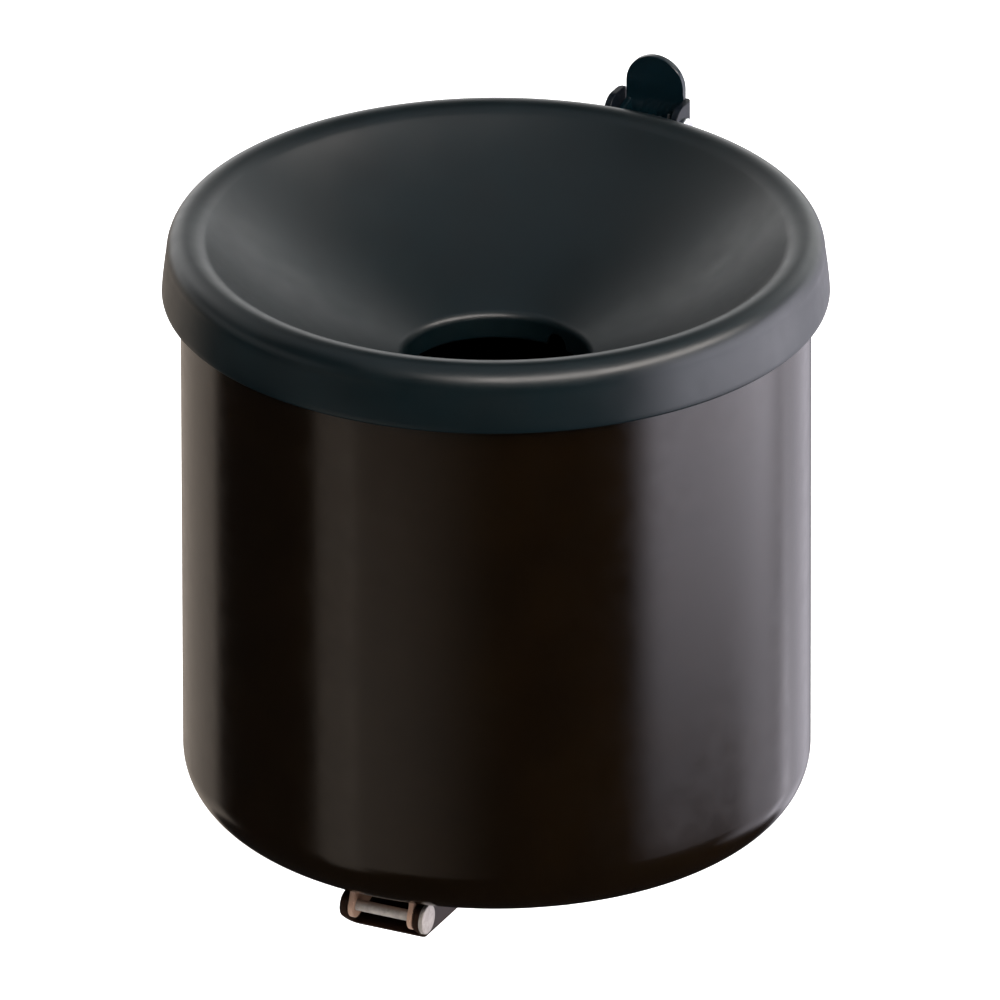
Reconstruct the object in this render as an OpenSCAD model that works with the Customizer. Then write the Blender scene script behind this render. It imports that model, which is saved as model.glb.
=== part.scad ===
// Wall-mounted tipping ashtray bin with a lift-off funnel lid.
// Origin: centre of the four wall holes, on the wall face of the wall plate.
// +Y points into the wall, -Y to the front, +Z up. All sizes are in millimetres.

/* [Bin] */
// Outside diameter of the bin
body_d = 160; // [130:1:200]
// Height from the bin's bottom to the lower edge of the lid's skirt
body_h = 140.6; // [110:0.1:200]
// Sheet thickness of the bin
body_wall = 0.9; // [0.7:0.1:1.2]
// Large radius of the bottom corner
corner_r = 15; // [12:0.1:24]
// Small radius that blends the corner into the flat bottom
heel_r = 6; // [4:0.5:8]
// Radius of the rolled rim
roll_r = 1.3; // [1.1:0.1:1.5]
// Radius of the wire in the rolled rim
rim_wire_r = 0.7; // [0.5:0.1:0.8]

/* [Lid] */
// Sheet thickness of the lid
lid_t = 0.9; // [0.7:0.1:1.2]
// How far the lid's fold centre lies inside the bin's outside radius
fold_inset = 1.7; // [1.4:0.1:2]
// Height of the fold's centre above the skirt's lower edge
skirt_h = 10.3; // [9.5:0.1:12]
// How far the skirt flares out from the fold to its lower edge
skirt_flare = 1.15; // [0.8:0.05:1.5]
// Width of the fold's outer quarter
fold_out = 5.3; // [5.1:0.1:6]
// Width of the fold's inner quarter
fold_in = 6.5; // [5.5:0.1:8]
// Rise of the fold above its centre
fold_rise = 6.2; // [6:0.1:7]
// Height of the lid's fold, inside, above the top of the rolled rim
rim_room = 1.3; // [0.5:0.1:3]
// Diameter of the funnel's hole
hole_d = 47.4; // [40:0.1:60]
// Depth of the neck's fillet centre below the skirt's lower edge
hole_drop = 20; // [14:0.5:24]
// Slope of the funnel where it meets the hole
hole_slope = 25; // [18:1:32]
// Radius of the fillet round the hole
hole_fillet_r = 2.6; // [2:0.1:4]
// Length of the straight neck under the fillet
neck_l = 4.6; // [3:0.1:8]
// Radius of the half-round notch in the neck's lower edge
notch_r = 3.3; // [2:0.1:4]
// Direction of the notch, from the back towards the right
notch_turn = 15; // [0:1:45]
// Number of centring clips inside the skirt
clip_count = 3; // [3:1:4]

/* [Wall plate and arm] */
// Distance from the wall to the back of the bin
wall_gap = 16.5; // [15.5:0.1:22]
// Width of the wall plate
plate_w = 40; // [38:1:60]
// Thickness of the wall plate
plate_t = 2; // [1.5:0.1:3]
// How far the wall plate reaches above the skirt's lower edge
plate_over = 2.6; // [1:0.1:3]
// Height of the bin's bottom above the wall plate's lower edge
plate_under = 35; // [34:1:60]
// Sideways distance between the wall holes
hole_span_x = 28; // [28:1:40]
// Diameter of a wall hole
wall_hole_d = 5.5; // [4.5:0.1:6]
// Outside width of the arm's channel
arm_w = 22.4; // [22:0.1:30]
// Thickness of the arm's flanges
arm_flange_t = 1.9; // [1.5:0.1:2]
// Thickness of the arm's web
arm_web_t = 1.5; // [1.2:0.1:2]
// Gap between the arm's flanges and the bin's bottom
arm_top_gap = 0.6; // [0.5:0.1:1]

/* [Hinge] */
// Diameter of the hinge pin
pin_d = 2.9; // [2.5:0.1:3.2]
// Distance from the bin's axis forward to the hinge pin
pin_forward = 65.5; // [55:0.5:66]
// Depth of the hinge pin's axis below the bin's bottom
pin_drop = 5.9; // [4.2:0.1:7]
// Radius of the arm's ears round the hinge pin
ear_r = 3.6; // [3.2:0.1:3.6]
// Depth of the arm's underside below the hinge pin's axis
arm_drop = 7; // [6:0.1:8]
// Distance from the hinge pin back to the front edge of the arm's web
web_setback = 3; // [2.5:0.1:5]
// Diameter of the pin heads
head_d = 7.8; // [6:0.1:7.8]
// Thickness of the pin heads
head_t = 1.2; // [0.8:0.1:1.5]
// Thickness of the hinge bracket under the bin
bracket_t = 1.4; // [1.2:0.1:1.5]
// Radius of the hinge bracket's ears
bracket_ear_r = 3.3; // [3:0.1:3.4]
// Length of the hinge bracket
bracket_l = 28; // [24:1:40]

/* [Latch] */
// Diameter of the latch pin
latch_pin_d = 4; // [3:0.1:4]
// Distance from the wall to the latch pin
latch_pin_out = 7.7; // [7.5:0.1:8]
// Height of the latch pin above the skirt's lower edge
latch_pin_up = 8.2; // [8:0.1:9]
// Thickness of the latch bracket
ears_t = 1.8; // [1.2:0.1:2]
// Top of the latch ears above the skirt's lower edge
ears_up = 15.6; // [14:0.1:17]
// Radius of the latch ears' upper front corners
ears_corner_r = 4.5; // [1:0.1:6]
// Bottom of the latch bracket below the skirt's lower edge
ears_down = 14; // [13:0.1:16]
// Width of the lever, which is the diameter of its thumb tab too
tab_w = 16.2; // [14:0.1:18]
// Height of the thumb tab's centre above the skirt's lower edge
tab_up = 17.6; // [16:0.1:20]
// Thickness of the thumb tab
tab_t = 1.8; // [1.5:0.1:2]
// Distance from the wall to the back of the thumb tab
tab_out = 1.5; // [1.2:0.1:1.6]
// Thickness of the lever's cheeks
cheek_t = 1.5; // [1.2:0.1:1.8]
// Radius of the lever's cheeks round the latch pin
cheek_r = 3.5; // [3.2:0.1:3.6]
// Depth of the striker's ledge below the skirt's lower edge
ledge_down = 5.6; // [5.5:0.1:7]
// Reach of the striker's ledge behind the bin
ledge_reach = 6.4; // [5:0.1:6.5]
// Thickness of the striker
striker_t = 1.5; // [1.2:0.1:1.6]
// Height of the striker's base
striker_h = 18; // [16:1:24]

/* [Hidden] */
$fn = 64;

// Clearances
run_gap = 0.05;      // radial, round a pin that turns
fixed_gap = 0.02;    // radial, round a pin that is fixed
side_gap = 0.3;      // between faces that slide past each other
ear_gap = 0.4;       // between the lever and the latch ears
seat_gap = 0.3;      // between a rubber buffer and the bin
weld_gap = 0.05;     // between a clip and the skirt that it is welded to
hook_gap = 0.3;      // between the hook noses and the striker's path
cut = 1;             // how far a cutter runs past the face that it opens

// Bin and wall plate, from the bin's bottom and from the wall
body_r = body_d / 2;
hole_r = hole_d / 2;
axis_y = -(wall_gap + body_r);
plate_h = plate_under + body_h + plate_over;
hole_inset_z = 11.6;
hole_span_z = plate_h - 2 * hole_inset_z;
bottom_z = plate_under - plate_h / 2;
skirt_z = bottom_z + body_h;
roll_z = skirt_h + fold_rise - lid_t - rim_room - roll_r;
plate_front = -plate_t;
plate_corner_r = 6;

// Hinge pin and arm
pin_y = axis_y - pin_forward;
pin_z = bottom_z - pin_drop;
arm_bottom = pin_z - arm_drop;
arm_web_top = arm_bottom + arm_web_t;
arm_in = arm_w / 2 - arm_flange_t;
tab_l = 21.5;

// Latch
latch_y = -latch_pin_out;
latch_z = skirt_z + latch_pin_up;
lever_x = tab_w / 2;
ears_in = lever_x + ear_gap;
ears_x = ears_in + ears_t;
lid_clear = 0.1;
skirt_r = body_r - fold_inset + fold_out + skirt_flare;
ears_front = axis_y + sqrt(skirt_r ^ 2 - ears_in ^ 2) + lid_clear;
web_front = plate_front - ears_t;
ledge_y = axis_y + body_r + ledge_reach;
ledge_z = skirt_z - ledge_down;

// Rivets and buffers
rivet_r = 2;
rivet_head_r = 3.2;
rivet_head_t = 1.5;
buffer_r = 6;
buffer_stem_r = 2.5;
buffer_bulb_r = 3.6;
buffer_bulb_t = 2;

// ---------- Outlines ----------

// Points of an elliptic arc round c, in n steps from angle a0 to a1
function arc(c, rx, ry, a0, a1, n) =
    [for (i = [0 : n]) let (a = a0 + (a1 - a0) * i / n) [c.x + rx * cos(a), c.y + ry * sin(a)]];

// Points of a cubic curve, without its two ends
function curve(p0, p1, p2, p3, n) =
    [for (i = [1 : n - 1]) let (t = i / n, s = 1 - t)
        s * s * s * p0 + 3 * s * s * t * p1 + 3 * s * t * t * p2 + t * t * t * p3];

function heading(p, i) =
    let (v = p[min(i + 1, len(p) - 1)] - p[max(i - 1, 0)]) v / norm(v);

// The path p moved sideways by d, to its left when d is positive
function beside(p, d) =
    [for (i = [0 : len(p) - 1]) let (t = heading(p, i)) p[i] + d * [-t.y, t.x]];

function backwards(p) = [for (i = [len(p) - 1 : -1 : 0]) p[i]];

// A sheet of thickness t on the left of path p
module sheet(p, t) {
    polygon(concat(p, backwards(beside(p, t))));
}

// The point where a line from p touches a circle of radius r round c, on its left side
function tangent_point(p, c, r) =
    let (v = p - c, d = norm(v), a = atan2(v.y, v.x) - acos(r / d)) c + r * [cos(a), sin(a)];

// ---------- Common shapes ----------

// Puts a shape drawn in the bin's own frame, on its axis at its bottom, in place
module at_bin() {
    translate([0, axis_y, bottom_z]) children();
}

// Puts a shape drawn on the bin's axis at the skirt's lower edge, in place
module at_skirt() {
    translate([0, axis_y, skirt_z]) children();
}

// A plate whose outline is drawn in Y and Z, from x to x + t
module side_plate(x, t) {
    translate([x, 0, 0]) rotate([90, 0, 90]) linear_extrude(t) children();
}

// A cylinder along X between x0 and x1
module bar_x(x0, x1, y, z, r) {
    translate([x0, y, z]) rotate([0, 90, 0]) cylinder(h = x1 - x0, r = r);
}

// A cylinder along Y, from the lower y0 to the higher y1
module bar_y(x, z, y0, y1, r) {
    translate([x, y0, z]) rotate([-90, 0, 0]) cylinder(h = y1 - y0, r = r);
}

// A rivet along +Z: a low domed head under z = 0, a shank of length l and a flat tail in a countersink
module rivet(l, tail_r, tail_t) {
    rotate_extrude() polygon(concat(
        [[0, -rivet_head_t]],
        arc([0, 0], rivet_head_r, rivet_head_t, -80, 0, 8),
        [[rivet_r, 0], [rivet_r, l - tail_t], [tail_r, l], [0, l]]
    ));
}

// The hole that such a rivet fills in the sheet at its tail
module rivet_hole(l, tail_r, tail_t) {
    translate([0, 0, -cut]) cylinder(h = l + 2 * cut, r = rivet_r + fixed_gap);
    if (tail_t > 0)
        translate([0, 0, l - tail_t]) cylinder(h = tail_t, r1 = rivet_r + fixed_gap, r2 = tail_r + fixed_gap);
}

// ---------- Wall plate and latch bracket ----------

arm_rivet_z = [arm_bottom - 6.5, arm_bottom - 16];
ears_rivet_z = [skirt_z - 3.5, skirt_z - 10.5];
tail_t = 1;
tail_r = 3;
back_buffer_z = bottom_z + body_h * 0.72;

module plate_rivet_frames(zs, front) {
    for (z = zs)
        translate([0, front, z]) rotate([-90, 0, 0]) children();
}

module wall_plate() {
    color([0.05, 0.05, 0.055])
    difference() {
        translate([0, 0, -plate_h / 2]) rotate([90, 0, 0]) linear_extrude(plate_t)
            union() {
                for (x = [-1, 1], z = [0, 1])
                    translate([x * (plate_w / 2 - plate_corner_r),
                        plate_corner_r + z * (plate_h - 2 * plate_corner_r)]) circle(plate_corner_r);
                translate([-plate_w / 2, plate_corner_r]) square([plate_w, plate_h - 2 * plate_corner_r]);
                translate([plate_corner_r - plate_w / 2, 0]) square([plate_w - 2 * plate_corner_r, plate_h]);
            }
        for (x = [-1, 1], z = [-1, 1])
            bar_y(x * hole_span_x / 2, z * hole_span_z / 2, -plate_t - cut, cut, wall_hole_d / 2);
        plate_rivet_frames(arm_rivet_z, plate_front - arm_web_t)
            rivet_hole(arm_web_t + plate_t, tail_r, tail_t);
        plate_rivet_frames(ears_rivet_z, web_front)
            rivet_hole(ears_t + plate_t, tail_r, tail_t);
        bar_y(0, back_buffer_z, -plate_t - cut, cut, buffer_stem_r + fixed_gap);
    }
}

module ear_outline() {
    difference() {
        polygon(concat(
            [[plate_front, skirt_z - ears_down], [plate_front, skirt_z + ears_up - 1]],
            arc([plate_front - 1, skirt_z + ears_up - 1], 1, 1, 30, 90, 3),
            arc([ears_front + ears_corner_r, skirt_z + ears_up - ears_corner_r],
                ears_corner_r, ears_corner_r, 90, 180, 10),
            [[ears_front, skirt_z - 4], [web_front - 1, skirt_z - ears_down]]
        ));
        translate([latch_y, latch_z]) circle(latch_pin_d / 2 + fixed_gap);
    }
}

module latch_bracket() {
    color([0.05, 0.055, 0.06]) {
        difference() {
            union() {
                side_plate(-ears_x, ears_t) ear_outline();
                side_plate(ears_in, ears_t) ear_outline();
                translate([-ears_in - ears_t / 2, web_front, skirt_z - ears_down])
                    cube([2 * ears_in + ears_t, ears_t, ears_down + plate_over]);
            }
            plate_rivet_frames(ears_rivet_z, web_front) rivet_hole(ears_t + plate_t, tail_r, 0);
        }
    }
}

module latch_bracket_rivets() {
    color([0.5, 0.5, 0.5])
        plate_rivet_frames(ears_rivet_z, web_front) rivet(ears_t + plate_t, tail_r, tail_t);
}

// ---------- Support arm ----------

module arm_side() {
    front = [pin_y + web_setback, arm_bottom];
    touch = tangent_point(front, [pin_y, pin_z], ear_r);
    difference() {
        union() {
            translate([pin_y, pin_z]) circle(ear_r);
            polygon([front, touch, [pin_y, pin_z], [pin_y, bottom_z - arm_top_gap],
                [plate_front - side_gap, bottom_z - arm_top_gap], [plate_front - side_gap, arm_bottom]]);
        }
        translate([pin_y, pin_z]) circle(pin_d / 2 + fixed_gap);
    }
}

module support_arm() {
    color([0.06, 0.055, 0.05])
    difference() {
        union() {
            side_plate(-arm_w / 2, arm_flange_t) arm_side();
            side_plate(arm_in, arm_flange_t) arm_side();
            translate([-arm_in - arm_flange_t / 2, pin_y + web_setback, arm_bottom])
                cube([2 * arm_in + arm_flange_t, plate_front - pin_y - web_setback, arm_web_t]);
            translate([-arm_in, plate_front - arm_web_t, arm_bottom - tab_l])
                cube([2 * arm_in, arm_web_t, tab_l + arm_web_t]);
        }
        plate_rivet_frames(arm_rivet_z, plate_front - arm_web_t) rivet_hole(arm_web_t + plate_t, tail_r, 0);
        translate([0, rest_y, arm_bottom - cut]) cylinder(h = arm_web_t + 2 * cut, r = buffer_stem_r + fixed_gap);
    }
}

module arm_rivets() {
    color([0.5, 0.5, 0.5])
        plate_rivet_frames(arm_rivet_z, plate_front - arm_web_t) rivet(arm_web_t + plate_t, tail_r, tail_t);
}

// ---------- Rubber buffers ----------

rest_y = axis_y + 0.6 * body_r;

// A push-in buffer along +Z: its shoulder sits at z = 0 on a sheet of thickness t, its bulb is below
module buffer(l, t) {
    rotate_extrude() polygon(concat(
        [[0, -t - buffer_bulb_t], [buffer_stem_r - 0.6, -t - buffer_bulb_t], [buffer_bulb_r, -t - 0.6],
            [buffer_bulb_r, -t], [buffer_stem_r, -t], [buffer_stem_r, 0], [buffer_r, 0]],
        arc([buffer_r - 1.2, l - 1.2], 1.2, 1.2, 0, 90, 6),
        [[0, l]]
    ));
}

module rest_buffer() {
    color([0.03, 0.03, 0.03])
        translate([0, rest_y, arm_web_top]) buffer(bottom_z - seat_gap - arm_web_top, arm_web_t);
}

// Its stem ends flush with the wall face, so it has no bulb
module back_buffer() {
    color([0.03, 0.03, 0.03])
        translate([0, plate_front, back_buffer_z]) rotate([90, 0, 0]) rotate_extrude() polygon(concat(
            [[0, -plate_t], [buffer_stem_r, -plate_t], [buffer_stem_r, 0], [buffer_r, 0]],
            arc([buffer_r - 1.2, wall_gap - plate_t - seat_gap - 1.2], 1.2, 1.2, 0, 90, 6),
            [[0, wall_gap - plate_t - seat_gap]]
        ));
}

// ---------- Pins ----------

module hinge_pin() {
    tail = 0.5;
    color([0.62, 0.6, 0.58])
    union() {
        bar_x(-arm_w / 2 - tail, arm_w / 2, pin_y, pin_z, pin_d / 2);
        bar_x(arm_w / 2, arm_w / 2 + head_t, pin_y, pin_z, head_d / 2);
    }
}

clip_ring_t = 0.6;
clip_ring_r = 4;

module latch_pin() {
    tail = 1.2;
    color([0.85, 0.86, 0.87])
    union() {
        bar_x(-ears_x - tail, ears_x, latch_y, latch_z, latch_pin_d / 2);
        bar_x(ears_x, ears_x + head_t, latch_y, latch_z, head_d / 2);
    }
}

module latch_pin_clip() {
    color([0.7, 0.7, 0.7])
    difference() {
        bar_x(-ears_x - clip_ring_t, -ears_x, latch_y, latch_z, clip_ring_r - side_gap);
        bar_x(-ears_x - cut, -ears_x + cut, latch_y, latch_z, latch_pin_d / 2 + fixed_gap);
    }
}

// ---------- Latch lever ----------

// Direction in which the ledge's back corner leaves when the bin starts to tip
path_v = [-(ledge_z - pin_z), ledge_y - pin_y] / norm([ledge_z - pin_z, ledge_y - pin_y]);
path_side = [path_v.y, -path_v.x];
// The noses' underside runs beside that path, on its wall side
nose_run = 3.7;
nose_back = (side_gap - hook_gap * path_side.x) / path_v.x;
nose_start = [ledge_y, ledge_z] + hook_gap * path_side + nose_back * path_v;
nose_tip = nose_start + nose_run * path_v;

module cheek_outline() {
    arm_front = nose_start.x;
    arm_back = latch_y - 0.2;
    tab_back = -tab_out;
    difference() {
        union() {
            translate([latch_y, latch_z]) circle(cheek_r);
            polygon([
                [latch_y, latch_z + cheek_r],
                [tab_back - tab_t, skirt_z + 12.8],
                [tab_back, skirt_z + 12.8],
                [tab_back, skirt_z + 5.5],
                [web_front - 0.6, skirt_z + plate_over + 1],
                [web_front - 2.4, skirt_z + 1.6],
                [arm_back, skirt_z - 6.3],
                [arm_front, skirt_z - 6.3],
                nose_start,
                nose_tip,
                nose_tip + [0.1, 0.5],
                [latch_y - 2.8, skirt_z - 0.4],
                [latch_y - cheek_r, latch_z]
            ]);
        }
        translate([latch_y, latch_z]) circle(latch_pin_d / 2 + run_gap);
    }
}

module latch_lever() {
    web_z = skirt_z + plate_over + 2;
    color([0.03, 0.06, 0.075])
    union() {
        side_plate(-lever_x, cheek_t) cheek_outline();
        side_plate(lever_x - cheek_t, cheek_t) cheek_outline();
        translate([0, -tab_out, 0]) rotate([90, 0, 0]) linear_extrude(tab_t) {
            translate([0, skirt_z + tab_up]) circle(lever_x);
            translate([-lever_x, web_z + 0.9]) square([2 * lever_x, skirt_z + tab_up - web_z - 0.9]);
        }
    }
}

// ---------- Latch spring ----------

wire_r = 0.4;
coil_r = latch_pin_d / 2 + side_gap + wire_r;
coil_turns = 5;
coil_half_l = 4.5;
coil_steps = 18;
ring_sides = 8;
coil_end = coil_turns * 360;

// Along X the coil runs from the bracket's leg to the lever's leg; its angle is measured from +Y to +Z
function coil_point(a) = [
    -coil_half_l + 2 * coil_half_l * a / coil_end,
    latch_y + coil_r * cos(a),
    latch_z + coil_r * sin(a)
];
coil = [for (i = [0 : coil_turns * coil_steps]) coil_point(i * 360 / coil_steps)];
leg_drop = latch_pin_up + 2;
spring_path = concat(
    [[-coil_half_l, web_front - wire_r - 0.1, latch_z - leg_drop],
        [-coil_half_l, web_front - wire_r - 0.2, latch_z - leg_drop / 2]],
    coil,
    [[coil_half_l, latch_y + coil_r + 0.1, latch_z + 1],
        [coil_half_l, -tab_out - tab_t - wire_r - 0.3, latch_z + 2.6]]
);

function along(p, i) =
    let (v = p[min(i + 1, len(p) - 1)] - p[max(i - 1, 0)]) v / norm(v);

// A round wire along path p; each ring stands square to the path, with the same side facing +X
module wire(p, r) {
    n = len(p);
    rings = [for (i = [0 : n - 1])
        let (t = along(p, i), u0 = cross(t, cross([1, 0, 0.001], t)), u = u0 / norm(u0), v = cross(t, u))
        for (k = [0 : ring_sides - 1]) let (a = k * 360 / ring_sides) p[i] + r * (cos(a) * u + sin(a) * v)];
    sides = [for (i = [0 : n - 2], k = [0 : ring_sides - 1])
        let (a = i * ring_sides + k, b = i * ring_sides + (k + 1) % ring_sides)
        [a + ring_sides, b + ring_sides, b, a]];
    ends = [[for (k = [0 : ring_sides - 1]) k],
        [for (k = [ring_sides - 1 : -1 : 0]) (n - 1) * ring_sides + k]];
    polyhedron(points = rings, faces = concat(sides, ends), convexity = 8);
}

module latch_spring() {
    color([0.6, 0.6, 0.62]) wire(spring_path, wire_r);
}

// ---------- Bin ----------

// Angle at which the corner's large radius hands over to the heel's small one
heel_turn = 64.3;
flat_r = body_r - corner_r + (corner_r - heel_r) * cos(heel_turn);
corner_z = corner_r * sin(heel_turn) + heel_r * (1 - sin(heel_turn));

// Outside of the bin from its rim down to the middle of its bottom
body_path = concat(
    [[body_r, body_h + roll_z]],
    arc([body_r - corner_r, corner_z], corner_r, corner_r, 0, -heel_turn, 12),
    arc([flat_r, heel_r], heel_r, heel_r, -heel_turn - 5, -90, 4),
    [[0, 0]]
);

striker_rivet_turn = 6;
striker_rivet_z = body_h - ledge_down - 11;

module striker_rivet_frames() {
    for (s = [-1, 1])
        translate([0, axis_y, bottom_z + striker_rivet_z]) rotate([-90, 0, s * striker_rivet_turn])
            translate([0, 0, body_r - body_wall]) children();
}

hinge_rivet_y = [pin_y + 10, pin_y + 20];

module body_shell() {
    color([0.055, 0.04, 0.035])
    difference() {
        union() {
            at_bin() rotate_extrude() sheet(body_path, -body_wall);
            at_bin() rotate_extrude() translate([body_r, body_h + roll_z]) circle(roll_r, $fn = 24);
        }
        at_bin() rotate_extrude() translate([body_r, body_h + roll_z]) circle(rim_wire_r + fixed_gap, $fn = 24);
        striker_rivet_frames() translate([0, 0, -cut]) cylinder(h = 3 * cut, r = rivet_r + fixed_gap);
        for (y = hinge_rivet_y)
            translate([0, y, bottom_z - cut]) cylinder(h = body_wall + 2 * cut, r = rivet_r + fixed_gap);
    }
}

module rim_wire() {
    color([0.6, 0.6, 0.6])
        at_bin() rotate_extrude() translate([body_r, body_h + roll_z]) circle(rim_wire_r, $fn = 24);
}

// ---------- Hinge bracket ----------

bracket_x = arm_in - side_gap;

module bracket_side() {
    back_y = pin_y + bracket_l;
    difference() {
        union() {
            translate([pin_y, pin_z]) circle(bracket_ear_r);
            polygon([[pin_y, pin_z - bracket_ear_r], [pin_y + 6, pin_z - bracket_ear_r + 1.2],
                [back_y, bottom_z - bracket_t - 1], [back_y, bottom_z - bracket_t / 2],
                [pin_y - 0.5, bottom_z - bracket_t / 2], [pin_y - 2.6, pin_z + 1.8], [pin_y, pin_z]]);
        }
        translate([pin_y, pin_z]) circle(pin_d / 2 + run_gap);
    }
}

module hinge_bracket() {
    color([0.42, 0.29, 0.24])
    difference() {
        union() {
            side_plate(-bracket_x, bracket_t) bracket_side();
            side_plate(bracket_x - bracket_t, bracket_t) bracket_side();
            translate([-bracket_x, pin_y - 0.5, bottom_z - bracket_t])
                cube([2 * bracket_x, bracket_l + 0.5, bracket_t]);
        }
        for (y = hinge_rivet_y)
            translate([0, y, bottom_z - bracket_t - cut])
                cylinder(h = bracket_t + 2 * cut, r = rivet_r + fixed_gap);
    }
}

module hinge_bracket_rivets() {
    tail_h = 0.8;
    color([0.5, 0.5, 0.5])
    for (y = hinge_rivet_y)
        translate([0, y, bottom_z - bracket_t]) {
            rivet(bracket_t + body_wall, rivet_r, 0.1);
            translate([0, 0, bracket_t + body_wall]) cylinder(h = tail_h, r1 = rivet_head_r, r2 = rivet_head_r - 0.8);
        }
}

// ---------- Striker ----------

striker_half = lever_x - 0.1;

module striker() {
    base_r = body_r + weld_gap;
    base_turn = asin(striker_half / base_r);
    color([0.055, 0.04, 0.035])
    difference() {
        union() {
            translate([0, axis_y, ledge_z - striker_h]) rotate([0, 0, 90 - base_turn])
                rotate_extrude(angle = 2 * base_turn) translate([base_r, 0]) square([striker_t, striker_h]);
            difference() {
                translate([-striker_half + 0.15, axis_y + body_r - 3, ledge_z - striker_t])
                    cube([2 * striker_half - 0.3, ledge_reach + 3, striker_t]);
                translate([0, axis_y, ledge_z - striker_t - cut])
                    cylinder(h = striker_t + 2 * cut, r = base_r + striker_t / 2, $fn = 128);
            }
        }
        striker_rivet_frames() translate([0, 0, -cut]) cylinder(h = 6 * cut, r = rivet_r - 0.5 + fixed_gap);
    }
}

module striker_rivets() {
    head_h = 1;
    head_lift = 0.1;
    shank_l = body_wall + weld_gap + striker_t;
    color([0.5, 0.5, 0.5])
    striker_rivet_frames() {
        translate([0, 0, -head_h - head_lift]) cylinder(h = head_h, r1 = 2.2, r2 = 3);
        translate([0, 0, -head_lift]) cylinder(h = body_wall + head_lift, r = rivet_r);
        cylinder(h = shank_l, r = rivet_r - 0.5);
        translate([0, 0, shank_l]) cylinder(h = head_h, r1 = 2.8, r2 = 2);
    }
}

// ---------- Lid ----------

fold_r = body_r - fold_inset;
fold_turn = 50;
fold_end = [fold_r - fold_in * sin(fold_turn), skirt_h + fold_rise * cos(fold_turn)];
fold_slope = atan(fold_rise * sin(fold_turn) / (fold_in * cos(fold_turn)));
fillet_c = [hole_r + hole_fillet_r, -hole_drop];
fillet_end = fillet_c + hole_fillet_r * [-sin(hole_slope), cos(hole_slope)];
bowl_pull = 0.36 * norm(fold_end - fillet_end);

// Outside of the lid from the skirt's lower edge, over the fold and down the funnel to the neck's end
lid_path = concat(
    [[skirt_r, 0], [fold_r + fold_out + skirt_flare / 2, skirt_h / 2]],
    arc([fold_r, skirt_h], fold_out, fold_rise, 0, 80, 8),
    arc([fold_r, skirt_h], fold_in, fold_rise, 90, 90 + fold_turn, 6),
    curve(
        fold_end, fold_end - bowl_pull * [cos(fold_slope), sin(fold_slope)],
        fillet_end + bowl_pull * [cos(hole_slope), sin(hole_slope)], fillet_end, 14),
    arc(fillet_c, hole_fillet_r, hole_fillet_r, 90 + hole_slope, 180, 6),
    [[hole_r, -hole_drop - neck_l]]
);

module funnel_lid() {
    color([0.1, 0.12, 0.135])
    difference() {
        at_skirt() rotate_extrude() sheet(lid_path, lid_t);
        at_skirt() rotate([0, 0, -notch_turn]) translate([0, 0, -hole_drop - neck_l])
            rotate([-90, 0, 0]) cylinder(h = hole_r + 10, r = notch_r);
    }
}

module lid_clips() {
    clip_t = 0.5;
    clip_turn = 8;
    inside = skirt_r - lid_t - weld_gap - 0.15;
    bow = body_r + roll_r + side_gap;
    leaf = [[inside - clip_t, 0.8], [inside - clip_t - 0.25, 3], [bow, 5.6], [bow + 0.1, 6.6], [inside - 1.9, 8.6]];
    color([0.62, 0.62, 0.6])
    for (i = [0 : clip_count - 1])
        at_skirt() rotate([0, 0, 30 + i * 360 / clip_count - clip_turn / 2])
            rotate_extrude(angle = clip_turn) sheet(leaf, -clip_t);
}

// ---------- Drawing ----------

wall_plate();
latch_bracket();
latch_bracket_rivets();
support_arm();
arm_rivets();
rest_buffer();
back_buffer();
hinge_pin();
latch_pin();
latch_pin_clip();
latch_lever();
latch_spring();
body_shell();
rim_wire();
hinge_bracket();
hinge_bracket_rivets();
striker();
striker_rivets();
funnel_lid();
lid_clips();
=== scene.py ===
"""Looks of the wall-mounted ashtray bin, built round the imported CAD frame. All sizes are in metres."""

import math

import bmesh
import bpy
from mathutils import Matrix, Vector


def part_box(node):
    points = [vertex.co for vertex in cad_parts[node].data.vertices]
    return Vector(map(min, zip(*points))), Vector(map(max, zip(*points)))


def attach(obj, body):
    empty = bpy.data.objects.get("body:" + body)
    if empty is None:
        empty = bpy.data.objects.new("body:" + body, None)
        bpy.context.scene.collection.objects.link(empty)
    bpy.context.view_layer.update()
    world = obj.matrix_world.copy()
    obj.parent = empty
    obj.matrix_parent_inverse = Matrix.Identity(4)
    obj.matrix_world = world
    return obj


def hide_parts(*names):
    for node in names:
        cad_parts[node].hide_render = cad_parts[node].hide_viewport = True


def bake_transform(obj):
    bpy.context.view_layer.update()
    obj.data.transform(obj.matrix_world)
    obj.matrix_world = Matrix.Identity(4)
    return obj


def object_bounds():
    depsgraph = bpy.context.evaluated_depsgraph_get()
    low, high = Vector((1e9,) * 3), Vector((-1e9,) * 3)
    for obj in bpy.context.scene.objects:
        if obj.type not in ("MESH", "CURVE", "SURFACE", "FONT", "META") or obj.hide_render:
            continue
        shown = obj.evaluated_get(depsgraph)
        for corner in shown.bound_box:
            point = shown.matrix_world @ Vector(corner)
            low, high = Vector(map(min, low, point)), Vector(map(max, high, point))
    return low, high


MM = 0.001

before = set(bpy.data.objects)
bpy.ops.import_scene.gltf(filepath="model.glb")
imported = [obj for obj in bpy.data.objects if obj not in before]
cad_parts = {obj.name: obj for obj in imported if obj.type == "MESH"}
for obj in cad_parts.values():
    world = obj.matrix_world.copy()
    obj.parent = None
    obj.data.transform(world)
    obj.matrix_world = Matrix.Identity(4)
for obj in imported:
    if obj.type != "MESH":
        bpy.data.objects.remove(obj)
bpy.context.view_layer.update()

# ---------------------------------------------------------------- sizes

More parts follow.
